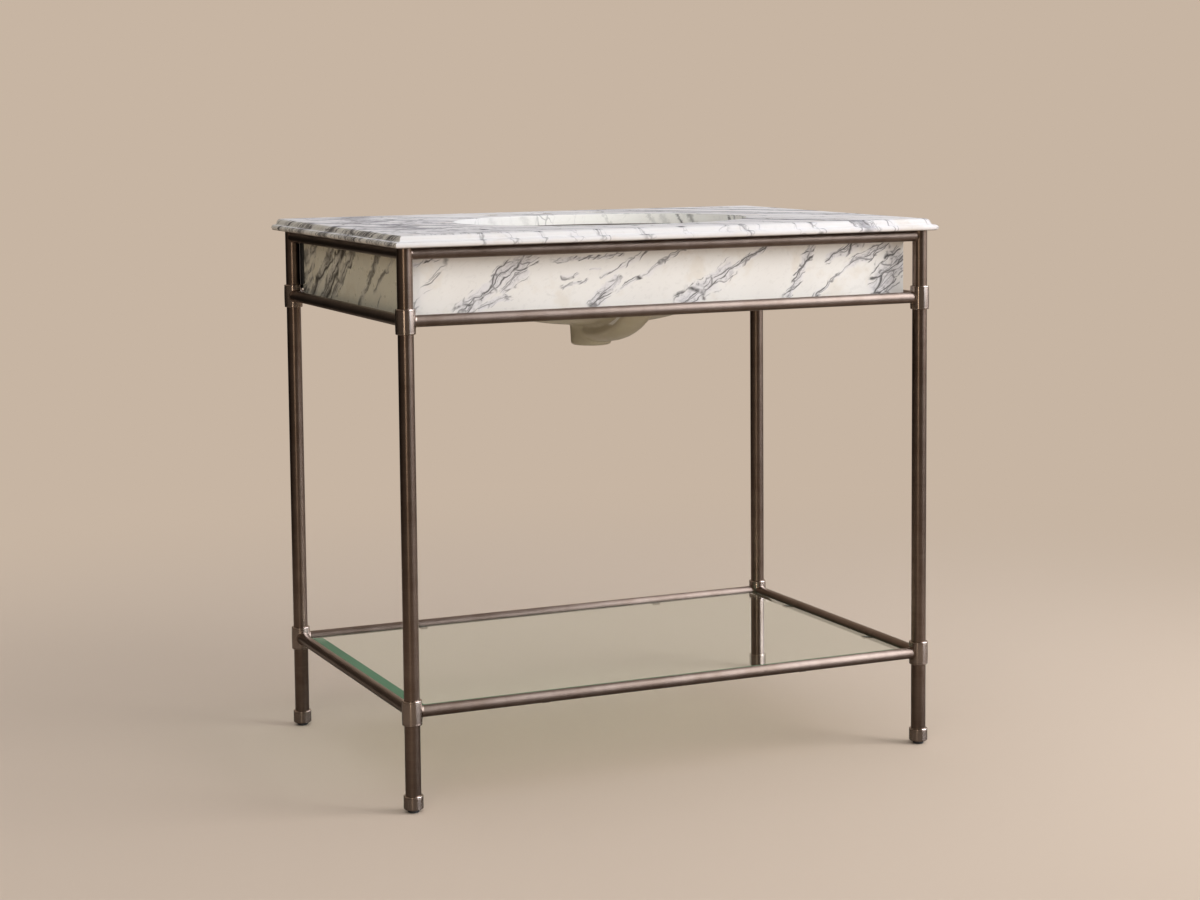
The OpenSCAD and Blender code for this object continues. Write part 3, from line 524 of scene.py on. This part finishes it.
def bronze(axis, finish):
    """Antique bronze for a piece along axis: legs brushed round, rails lengthwise, turned collars polished brighter."""
    s = Shader("bronze_" + finish + "_" + axis.lower())
    rough, change, stretch, turn, relief = BRUSHED[finish]
    fine = {"X": (26, 1500, 1500), "Y": (1500, 26, 1500), "Z": (26, 26, 1500)}[axis]
    wide = {"X": (90, 8, 8), "Y": (8, 90, 8), "Z": (8, 8, 90)}[axis]
    lines = s.noise(s.vec("MULTIPLY", s.point, fine), 1, 2, 0.6)
    bands = s.noise(s.vec("MULTIPLY", s.point, wide), 1, 3, 0.6)
    mottle = s.noise(s.point, 22, 3, 0.6)
    tone = s.mix(s.span(mottle, 0.35, 0.7), (0.218, 0.160, 0.127), (0.172, 0.121, 0.092))
    tone = s.mix(s.math("MULTIPLY", s.span(bands, 0.45, 0.75), 0.20), tone, (0.120, 0.086, 0.066))
    tone = s.mix(s.math("MULTIPLY", s.span(lines, 0.45, 0.8), 0.22), tone, (0.320, 0.260, 0.220))
    if finish == "turned":
        tone = s.mix(0.70, tone, (0.430, 0.350, 0.300))
    s.set(Base_Color=tone, Metallic=1.0, Roughness=s.math("MULTIPLY_ADD", lines, change, rough))
    s.bsdf.inputs["Anisotropic"].default_value = stretch
    s.bsdf.inputs["Anisotropic Rotation"].default_value = turn
    if stretch:
        s.put(s.bsdf.inputs["Tangent"], s.node("ShaderNodeTangent", direction_type="RADIAL", axis=axis).outputs[0])
    s.bump(lines, relief, 0.0002)
    return s.mat


# ---- other finishes ----

def glass():
    """Clear float glass, absorbing green in its body; on its bevel and edges a painted green stands in for the light
    seen through the thickness.
    """
    s = Shader("glass")
    s.set(Base_Color=s.mix(s.noise(s.point, 3, 2), (0.985, 0.995, 0.99), (0.975, 0.99, 0.985)),
          Roughness=0.0, IOR=1.52, Transmission_Weight=1.0)
    s.bump(s.noise(s.point, 2.5, 1), 0.02, 0.0006)
    inside = s.node("ShaderNodeVolumeAbsorption")
    inside.inputs["Color"].default_value = (0.20, 0.80, 0.62, 1)
    inside.inputs["Density"].default_value = 7.0
    s.put(s.out.inputs["Volume"], inside.outputs[0])
    tilt = s.node("ShaderNodeSeparateXYZ")
    s.put(tilt.inputs[0], s.node("ShaderNodeNewGeometry").outputs["True Normal"])
    facing = s.node("ShaderNodeLayerWeight").outputs["Facing"]
    # painted green: a matte green on the tilted bevel and edge faces, strongest at a slanting view, in place of light
    # seen through the thickness
    edge = s.span(s.math("ABSOLUTE", tilt.outputs[2]), 0.999, 0.990, 0.0, 0.80)
    tinted = s.math("MULTIPLY", s.span(facing, 0.80, 0.72, 0.04, 1.0), s.span(facing, 0.20, 0.50, 0.15, 1.0))
    edge = s.math("MULTIPLY", edge, tinted)
    green = s.node("ShaderNodeBsdfDiffuse")
    s.put(green.inputs["Color"], s.mix(s.noise(s.point, 6, 2), (0.115, 0.240, 0.135), (0.175, 0.330, 0.205)))
    body = s.node("ShaderNodeMixShader")
    s.put(body.inputs[0], edge)
    s.put(body.inputs[1], s.bsdf.outputs[0])
    s.put(body.inputs[2], green.outputs[0])
    clear = s.node("ShaderNodeBsdfTransparent")
    clear.inputs[0].default_value = (0.89, 0.905, 0.895, 1)
    both = s.node("ShaderNodeMixShader")
    s.put(both.inputs[0], s.node("ShaderNodeLightPath").outputs["Is Shadow Ray"])
    s.put(both.inputs[1], body.outputs[0])
    s.put(both.inputs[2], clear.outputs[0])
    s.put(s.out.inputs["Surface"], both.outputs[0])
    return s.mat


def mottled(name, a, b, scale, rough, metallic=0.0, bump=0.05, **extra):
    s = Shader(name)
    n = s.noise(s.point, scale, 4, 0.6)
    s.set(Base_Color=s.mix(s.span(n, 0.3, 0.7), a, b), Metallic=metallic,
          Roughness=s.math("MULTIPLY_ADD", n, 0.12, rough), **extra)
    s.bump(s.noise(s.point, scale * 9, 2), bump, 0.0003)
    return s.mat


def glaze():
    """White glaze inside; on the faces that point down, and everywhere below 0.70 m, the coat is rougher and a painted
    shade darkens it to olive.
    """
    s = Shader("glaze")
    n = s.noise(s.point, 14, 4, 0.6)
    white = s.mix(s.span(n, 0.3, 0.7), (0.80, 0.79, 0.755), (0.775, 0.765, 0.73))
    # painted shade: the dark olive colour for the bowl's underside
    dull = s.mix(s.span(n, 0.3, 0.7), (0.430, 0.390, 0.285), (0.385, 0.345, 0.245))
    facing, place = s.node("ShaderNodeSeparateXYZ"), s.node("ShaderNodeSeparateXYZ")
    s.put(facing.inputs[0], s.node("ShaderNodeNewGeometry").outputs["Normal"])
    s.put(place.inputs[0], s.point)
    duller_coat_and_painted_shade = s.math("MAXIMUM", s.span(facing.outputs[2], -0.02, -0.12), s.span(place.outputs[2], 0.705, 0.701))
    s.set(Base_Color=s.mix(duller_coat_and_painted_shade, white, dull), Roughness=s.math("MULTIPLY_ADD", duller_coat_and_painted_shade, 0.22, 0.08),
          Coat_Weight=0.08, Coat_Roughness=0.03)
    s.bump(s.noise(s.point, 126, 2), 0.02, 0.0003)
    return s.mat


BRONZE = {axis: bronze(axis, finish) for axis, finish in (("X", "rail"), ("Y", "side"), ("Z", "tube"))}
TURNED = bronze("Z", "turned")
FINISH = {
    "glaze": glaze(),
    "glass": glass(),
    "black_nylon": mottled("black_nylon", (0.018, 0.018, 0.019), (0.035, 0.034, 0.033), 160, 0.42, bump=0.3),
    "steel": mottled("steel", (0.50, 0.49, 0.47), (0.36, 0.35, 0.34), 120, 0.24, 1.0, 0.15),
    "plain_brass": mottled("plain_brass", (0.60, 0.44, 0.22), (0.45, 0.31, 0.14), 90, 0.26, 1.0, 0.1),
    "dark_steel": mottled("dark_steel", (0.020, 0.020, 0.021), (0.040, 0.038, 0.036), 120, 0.34, 0.3, 0.2),
    "sealant": mottled("sealant", (0.30, 0.29, 0.27), (0.24, 0.23, 0.21), 60, 0.5, bump=0.2),
    "clear_cushion": mottled("clear_cushion", (0.75, 0.76, 0.75), (0.66, 0.68, 0.67), 80, 0.12, bump=0.05,
                             Transmission_Weight=0.6),
}


# ---- marble pieces ----

def mesh_piece(name, verts, faces, mat, node, sharp=0.6):
    me = bpy.data.meshes.new(name)
    me.from_pydata([tuple(v) for v in verts], [], faces)
    bm = bmesh.new()
    bm.from_mesh(me)
    bmesh.ops.remove_doubles(bm, verts=bm.verts, dist=1e-6)
    bmesh.ops.recalc_face_normals(bm, faces=bm.faces)
    for e in bm.edges:
        e.smooth = not e.is_manifold or e.calc_face_angle(0) < sharp
    for f in bm.faces:
        f.smooth = True
    bm.to_mesh(me)
    bm.free()
    me.materials.append(mat)
    ob = add(name, me)
    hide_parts(node)
    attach(ob, "frame")


def marble_slab():
    """The top: moulded on three sides, with eased edges round the cut-out and the tap holes."""
    (x0, y0, z0), (x1, y1, z1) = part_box("marble_top")
    nose, hollow, ledge, ease = 0.0046, 0.0020, 0.0026, 0.0010
    shoulder = (z1 - z0) - 2 * nose - hollow
    run = shoulder + hollow + ledge + nose
    # (inset from the outer face, height), from the top face down to the underside
    line = [(run, z1)]
    line += [(nose + ledge + hollow + shoulder + p, z) for p, z in
             [(-shoulder * math.sin(math.radians(a)), z1 - shoulder + shoulder * math.cos(math.radians(a)))
              for a in range(10, 91, 10)]]
    line += [(nose + ledge + hollow - hollow * math.sin(math.radians(a)),
              z0 + 2 * nose + hollow * (1 - math.sin(math.radians(a)))) for a in (20, 45, 70, 90)]
    line += [(nose, z0 + 2 * nose)]
    line += [(nose - nose * math.sin(math.radians(a)), z0 + nose + nose * math.cos(math.radians(a)))
             for a in range(15, 181, 15)]

    def path(d, z):
        return [(x0 + d, y1, z), (x0 + d, y0 + d, z), (x1 - d, y0 + d, z), (x1 - d, y1, z)]

    verts, faces = [], []
    for d, z in line:
        verts += path(d, z)
    for i in range(len(line) - 1):
        for k in range(3):
            a = 4 * i + k
            faces.append((a, a + 1, a + 5, a + 4))
    left, right = [4 * i for i in range(len(line))], [4 * i + 3 for i in range(len(line))]
    faces.append(tuple(left + right[::-1]))

    def ring(cx, cy, a, b, n):
        """A hole's wall with eased edges; returns its loops in the top face and the underside."""
        quarter = [math.radians(t) for t in (0, 30, 60, 90)]
        steps = [(ease * (1 - math.sin(t)), z1 - ease * (1 - math.cos(t))) for t in quarter]
        steps += [(g, z0 + (z1 - z)) for g, z in steps[::-1]]
        base = len(verts)
        for g, z in steps:
            verts.extend([(cx + (a + g) * math.cos(t), cy + (b + g) * math.sin(t), z) for t in circle(n)])
        for j in range(len(steps) - 1):
            for i in range(n):
                k = (i + 1) % n
                faces.append((base + j * n + i, base + j * n + k, base + (j + 1) * n + k, base + (j + 1) * n + i))
        last = base + (len(steps) - 1) * n
        return list(range(base, base + n)), list(range(last, last + n))

    holes = [ring(0, MID - CUT_SHIFT, CUT_X, CUT_Y, 160)]
    holes += [ring(x, MID + TAP_Y, TAP_R, TAP_R, 48) for x in (-TAP_GAP, 0, TAP_GAP)]
    last = 4 * (len(line) - 1)
    for outer, which in (([0, 1, 2, 3], 0), ([last, last + 1, last + 2, last + 3], 1)):
        loops = [outer] + [h[which] for h in holes]
        flat = [i for loop in loops for i in loop]
        tris = tessellate_polygon([[Vector((*verts[i][:2], 0)) for i in loop] for loop in loops])
        faces.extend([(flat[a], flat[b], flat[c]) for a, b, c in tris])
    mesh_piece("marble_slab", verts, faces, top_marble(), "marble_top", sharp=0.7)


def eased_prism(name, outline, node, mat):
    """An apron panel: its plan outline raised to its height, every edge eased."""
    (_, _, z0), (_, _, z1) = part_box(node)
    n = len(outline)
    verts = [(x, y, z) for z in (z0, z1) for x, y in outline]
    faces = [tuple(range(n))[::-1], tuple(range(n, 2 * n))]
    faces += [(i, (i + 1) % n, n + (i + 1) % n, n + i) for i in range(n)]
    me = bpy.data.meshes.new(name)
    me.from_pydata(verts, [], faces)
    bm = bmesh.new()
    bm.from_mesh(me)
    bmesh.ops.recalc_face_normals(bm, faces=bm.faces)
    bmesh.ops.bevel(bm, geom=list(bm.edges), offset=0.0008, segments=2, affect="EDGES", profile=0.5)
    for f in bm.faces:
        f.smooth = f.calc_area() < 1e-3
    bm.to_mesh(me)
    bm.free()
    me.materials.append(mat)
    ob = add(name, me)
    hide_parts(node)
    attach(ob, "frame")


def apron_panels():
    """Three panels with mitred corners, their bands of veins placed as the photo shows them."""
    t = PANEL_T
    (x0, y0, _), (x1, y1, _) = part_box("apron_panel_front")
    eased_prism("front_panel", [(x0, y0), (x1, y0), (x1 - t, y1), (x0 + t, y1)], "apron_panel_front",
                panel_marble("marble_front", (1, 0, 0), (0, 1, 0), (0.829, 0, 0.559), (1.7, 0.6, 2.9), [
                    (-0.425, 0.752, -0.366, 0.834, 0.012, 0.30, 0.15),
                    (-0.428, 0.826, -0.380, 0.831, 0.005, 0.70, 0.6),
                    (-0.345, 0.748, -0.222, 0.832, 0.017, 0.95, 0.95),
                    (-0.275, 0.775, -0.232, 0.808, 0.014, 0.85, 0.8),
                    (-0.318, 0.750, -0.262, 0.766, 0.010, 0.85, 0.8),
                    (-0.190, 0.825, -0.080, 0.832, 0.006, 0.80, 0.8),
                    (-0.178, 0.784, -0.137, 0.793, 0.005, 0.70, 0.9),
                    (-0.178, 0.799, -0.152, 0.804, 0.005, 0.60, 0.7),
                    (-0.132, 0.807, -0.114, 0.812, 0.004, 0.60, 0.8),
                    (-0.115, 0.795, -0.099, 0.803, 0.004, 0.60, 0.8),
                    (-0.110, 0.800, -0.034, 0.830, 0.007, 0.50, 0.4),
                    (-0.130, 0.748, -0.085, 0.795, 0.013, 0.95, 0.8),
                    (-0.085, 0.774, 0.027, 0.830, 0.007, 0.60, 0.75),
                    (0.020, 0.744, 0.112, 0.800, 0.021, 1.00, 0.9),
                    (0.105, 0.795, 0.182, 0.830, 0.008, 0.80, 0.8),
                    (0.212, 0.746, 0.262, 0.832, 0.011, 0.85, 0.85),
                    (0.258, 0.746, 0.330, 0.797, 0.005, 0.60, 0.8),
                    (0.285, 0.805, 0.352, 0.832, 0.010, 0.85, 0.8),
                    (0.325, 0.795, 0.400, 0.830, 0.011, 0.90, 0.9),
                    (0.372, 0.748, 0.425, 0.812, 0.034, 1.00, 0.5)]))
    # the left panel shows coarser, thicker veins, and a painted shade darkens and warms its colour: its look is (thick,
    # size, warm painted-shade tint)
    for side, seed, look in (("left", (2.3, 4.1, 0.7), (2.0, 0.55, (0.77, 0.73, 0.585))),
                             ("right", (8.3, 2.6, 3.7), ())):
        node = "apron_panel_" + side
        (x0, y0, _), (x1, y1, _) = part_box(node)
        xo, xi = (x0, x1) if side == "left" else (x1, x0)
        eased_prism(side + "_panel", [(xo, y0), (xi, y0 + t), (xi, y1), (xo, y1)], node,
                    panel_marble("marble_" + side, (0, 1, 0), (1, 0, 0), (0, 0.842, -0.540), seed, [
                        (-0.006, 0.832, 0.112, 0.750, 0.015, 0.90, 0.9),
                        (0.048, 0.834, 0.156, 0.746, 0.024, 1.00, 0.95),
                        (0.098, 0.834, 0.216, 0.748, 0.018, 1.00, 0.9),
                        (0.204, 0.800, 0.266, 0.772, 0.010, 0.90, 0.9),
                        (0.212, 0.780, 0.268, 0.748, 0.012, 0.95, 0.8),
                        (0.188, 0.834, 0.256, 0.808, 0.020, 1.00, 0.7),
                        (-0.136, 0.834, -0.030, 0.748, 0.011, 0.75, 0.95),
                        (-0.192, 0.830, -0.106, 0.772, 0.007, 0.60, 0.6),
                        (-0.137, 0.770, -0.118, 0.745, 0.008, 0.55, 0.3)], *look))


marble_slab()
apron_panels()


# ---- basin: cast in one, with soft fillets between bowl, boss and overflow housing ----

def solid(name, verts, faces):
    me = bpy.data.meshes.new(name)
    me.from_pydata([tuple(v) for v in verts], [], faces)
    bm = bmesh.new()
    bm.from_mesh(me)
    bmesh.ops.recalc_face_normals(bm, faces=bm.faces)
    bm.to_mesh(me)
    bm.free()
    return me


def loft(name, rings):
    """A closed form through rings of points, with flat ends."""
    n = len(rings[0])
    verts = [v for r in rings for v in r]
    faces = [(j * n + i, j * n + (i + 1) % n, (j + 1) * n + (i + 1) % n, (j + 1) * n + i)
             for j in range(len(rings) - 1) for i in range(n)]
    faces += [tuple(range(n)), tuple(range((len(rings) - 1) * n, len(rings) * n))]
    return solid(name, verts, faces)


def joined(name, meshes):
    bm = bmesh.new()
    for me in meshes:
        bm.from_mesh(me)
    out = bpy.data.meshes.new(name)
    bm.to_mesh(out)
    bm.free()
    return out


def basin():
    rim_z, cut_y, boss_y, power = 0.850, MID - CUT_SHIFT, MID + 0.040, 2.55
    wide, deep, wall, skew = 0.246, 0.191, 0.009, 0.030
    inner, outer = 0.144, 0.155     # how deep the bowl is inside and outside
    flange, rim_t = 0.026, 0.012    # the rim's width and thickness
    pole = 88.5                     # the last ring's angle, close to the bowl's lowest point
    turns = 96

    def bent(v):
        return math.copysign(abs(v) ** (2 / power), v)

    def ring(deg, grow, depth):
        k, h = bent(math.cos(math.radians(deg))), bent(math.sin(math.radians(deg)))
        cy = cut_y + skew * h * h
        return [((wide + grow) * k * math.cos(t), cy + (deep + grow) * k * math.sin(t), rim_z - depth * h)
                for t in circle(turns)]

    def flat(grow, z):
        return [((wide + grow) * math.cos(t), cut_y + (deep + grow) * math.sin(t), z) for t in circle(turns)]

    def disc(r, z):
        """A ring round the waste's axis."""
        return [(r * math.cos(t), boss_y + r * math.sin(t), z) for t in circle(64)]

    start = math.degrees(math.asin((rim_t / outer) ** (power / 2)))
    steps = [4 * i for i in range(1, 23)]
    rings = [ring(d, 0, inner) for d in [pole] + steps[::-1]]
    rings += [flat(0, rim_z), flat(flange, rim_z), flat(flange, rim_z - rim_t)]
    rings += [ring(d, wall, outer) for d in [start] + [d for d in steps if d > start + 2] + [pole]]
    bowl = loft("bowl", rings)
    boss = loft("boss", [disc(r, z) for r, z in ((0.0325, 0.658), (0.034, 0.6595), (0.036, 0.704))])

    def keel(deg, off):
        c, t = math.cos(math.radians(deg)), math.sin(math.radians(deg))
        k, h = bent(c), bent(t)
        b = deep + wall
        n = Vector((math.copysign(abs(k) ** (power - 1), k) / b, h ** (power - 1) / outer)).normalized()
        return Vector((cut_y + skew * h * h - b * k - n.x * off, rim_z - outer * h - n.y * off))

    housing = []
    for deg in range(14, 99, 6):
        out = 0.016 + 0.0125 * math.sin(math.radians(deg)) ** 2
        a, b = keel(deg, -0.005), keel(deg, out)
        mid, half = (a + b) / 2, (b - a) / 2
        housing.append([(0.027 * math.copysign(abs(math.cos(t)) ** 0.8, math.cos(t)),
                         mid.x + half.x * math.sin(t), mid.y + half.y * math.sin(t)) for t in circle(40)])
    body = bpy.data.objects.new("basin_body", joined("basin_body", [bowl, boss, loft("housing", housing)]))
    spill_r, spill_z = 0.010, rim_z - inner * bent(math.sin(math.radians(20)))
    spill = loft("spill", [[(spill_r * math.cos(t), y, spill_z + spill_r * math.sin(t)) for t in circle(40)]
                           for y in (cut_y - deep, cut_y - 0.145)])
    waste = loft("cut", [disc(0.0225, z) for z in (0.64, 0.76)])
    recess = loft("cut", [disc(0.032, z) for z in (0.7035, 0.76)])
    cuts = [bpy.data.objects.new("cut%d" % i, me) for i, me in enumerate([waste, recess, spill])]
    for ob in [body] + cuts:
        scene.collection.objects.link(ob)
    m = body.modifiers.new("join", "REMESH")
    m.mode, m.voxel_size = "VOXEL", 0.0028
    for c in cuts:
        m = body.modifiers.new("cut", "BOOLEAN")
        m.operation, m.solver, m.object = "DIFFERENCE", "EXACT", c
    m = body.modifiers.new("skin", "REMESH")
    m.mode, m.voxel_size = "VOXEL", 0.0026
    m = body.modifiers.new("soften", "SMOOTH")
    m.factor, m.iterations = 0.5, 9
    me = bpy.data.meshes.new_from_object(body.evaluated_get(bpy.context.evaluated_depsgraph_get()))
    for ob in [body] + cuts:
        bpy.data.objects.remove(ob)
    me.materials.clear()
    me.materials.append(FINISH["glaze"])
    for poly in me.polygons:
        poly.use_smooth = True
    ob = add("basin_glazed", me)
    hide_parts("basin")
    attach(ob, "frame")


basin()


# ---- turned collars: a barrel between two grooved, rounded lips ----

def turned_collars():
    lip, groove, belly, turns = 0.0012, 0.0006, 0.0003, 96
    bore, r = LEG_R, COLLAR_R
    for node in nodes:
        if "_collar_" not in node:
            continue
        (x0, y0, z0), (x1, y1, z1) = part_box(node)
        cx, cy, cz, half = (x0 + x1) / 2, (y0 + y1) / 2, (z0 + z1) / 2, (z1 - z0) / 2
        end = [(r - lip + lip * math.cos(math.radians(a)), half - lip + lip * math.sin(math.radians(a)))
               for a in range(90, -1, -15)]
        step = half - 2 * lip
        end += [(r, step), (r - groove, step), (r - groove, step - groove), (r, step - groove)]
        barrel = [(r + belly * (1 - u * u), u * (step - groove)) for u in [1 - i / 12 for i in range(1, 24)]]
        line = [(bore, half)] + end + barrel + [(a, -b) for a, b in end[::-1]] + [(bore, -half)]
        verts = [(cx + a * math.cos(t), cy + a * math.sin(t), cz + b) for a, b in line for t in circle(turns)]
        count = len(line)
        faces = [(j * turns + i, j * turns + (i + 1) % turns, (j + 1) % count * turns + (i + 1) % turns,
                  (j + 1) % count * turns + i) for j in range(count) for i in range(turns)]
        mesh_piece("turned_" + node, verts, faces, TURNED, node)


turned_collars()


# ---- soldered fillets where the rails meet the legs and collars ----

def rail_fillets():
    size, turns, steps = 0.0022, 40, 5
    verts, faces = [], []
    for name in nodes:
        if "_rail_" not in name:
            continue
        (x0, y0, z0), (x1, y1, z1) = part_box(name)
        r, z = (z1 - z0) / 2, (z0 + z1) / 2
        across = name.endswith(("front", "rear"))
        leg = LEG_R if name.startswith("top") else BELLY_R
        for sign in (-1, 1):
            px = sign * LEG_X if across else (x0 + x1) / 2
            py = (y0 + y1) / 2 if across else MID + sign * LEG_Y
            base = len(verts)
            for angle in circle(turns):
                c, s = math.cos(angle), math.sin(angle)
                seat = math.sqrt(leg ** 2 - (r * c) ** 2)
                reach = min((r + size) * abs(c), leg * 0.999)
                ends = (Vector((math.sqrt(leg ** 2 - reach ** 2), (r + size) * c, (r + size) * s)),
                        Vector((seat, r * c, r * s)), Vector((seat + size, r * c, r * s)))
                for k in range(steps + 1):
                    t = k / steps
                    p = ends[0] * (1 - t) ** 2 + ends[1] * 2 * t * (1 - t) + ends[2] * t * t
                    along, side = -sign * p.x, p.y
                    verts.append((px + along, py + side, z + p.z) if across else (px + side, py + along, z + p.z))
            for i in range(turns):
                for k in range(steps):
                    a, b = base + i * (steps + 1) + k, base + (i + 1) % turns * (steps + 1) + k
                    faces.append((a, b, b + 1, a + 1) if (sign > 0) == across else (a, a + 1, b + 1, b))
    me = bpy.data.meshes.new("rail_fillets")
    me.from_pydata(verts, [], faces)
    for poly in me.polygons:
        poly.use_smooth = True
    me.materials.append(bronze("Z", "soldered"))
    ob = add("rail_fillets", me)
    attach(ob, "frame")


rail_fillets()


# ---- finishes of the pieces kept from the model ----

for name, ob in nodes.items():
    axis = "Z"
    if "rail" in name:
        axis = "X" if name.endswith(("front", "rear")) else "Y"
    for s in ob.material_slots:
        kind = s.material.name.split(".")[0]
        metal = TURNED if "collar" in name or "cap" in name else BRONZE[axis]
        s.material = metal if kind == "bronze" else FINISH.get(kind) or s.material
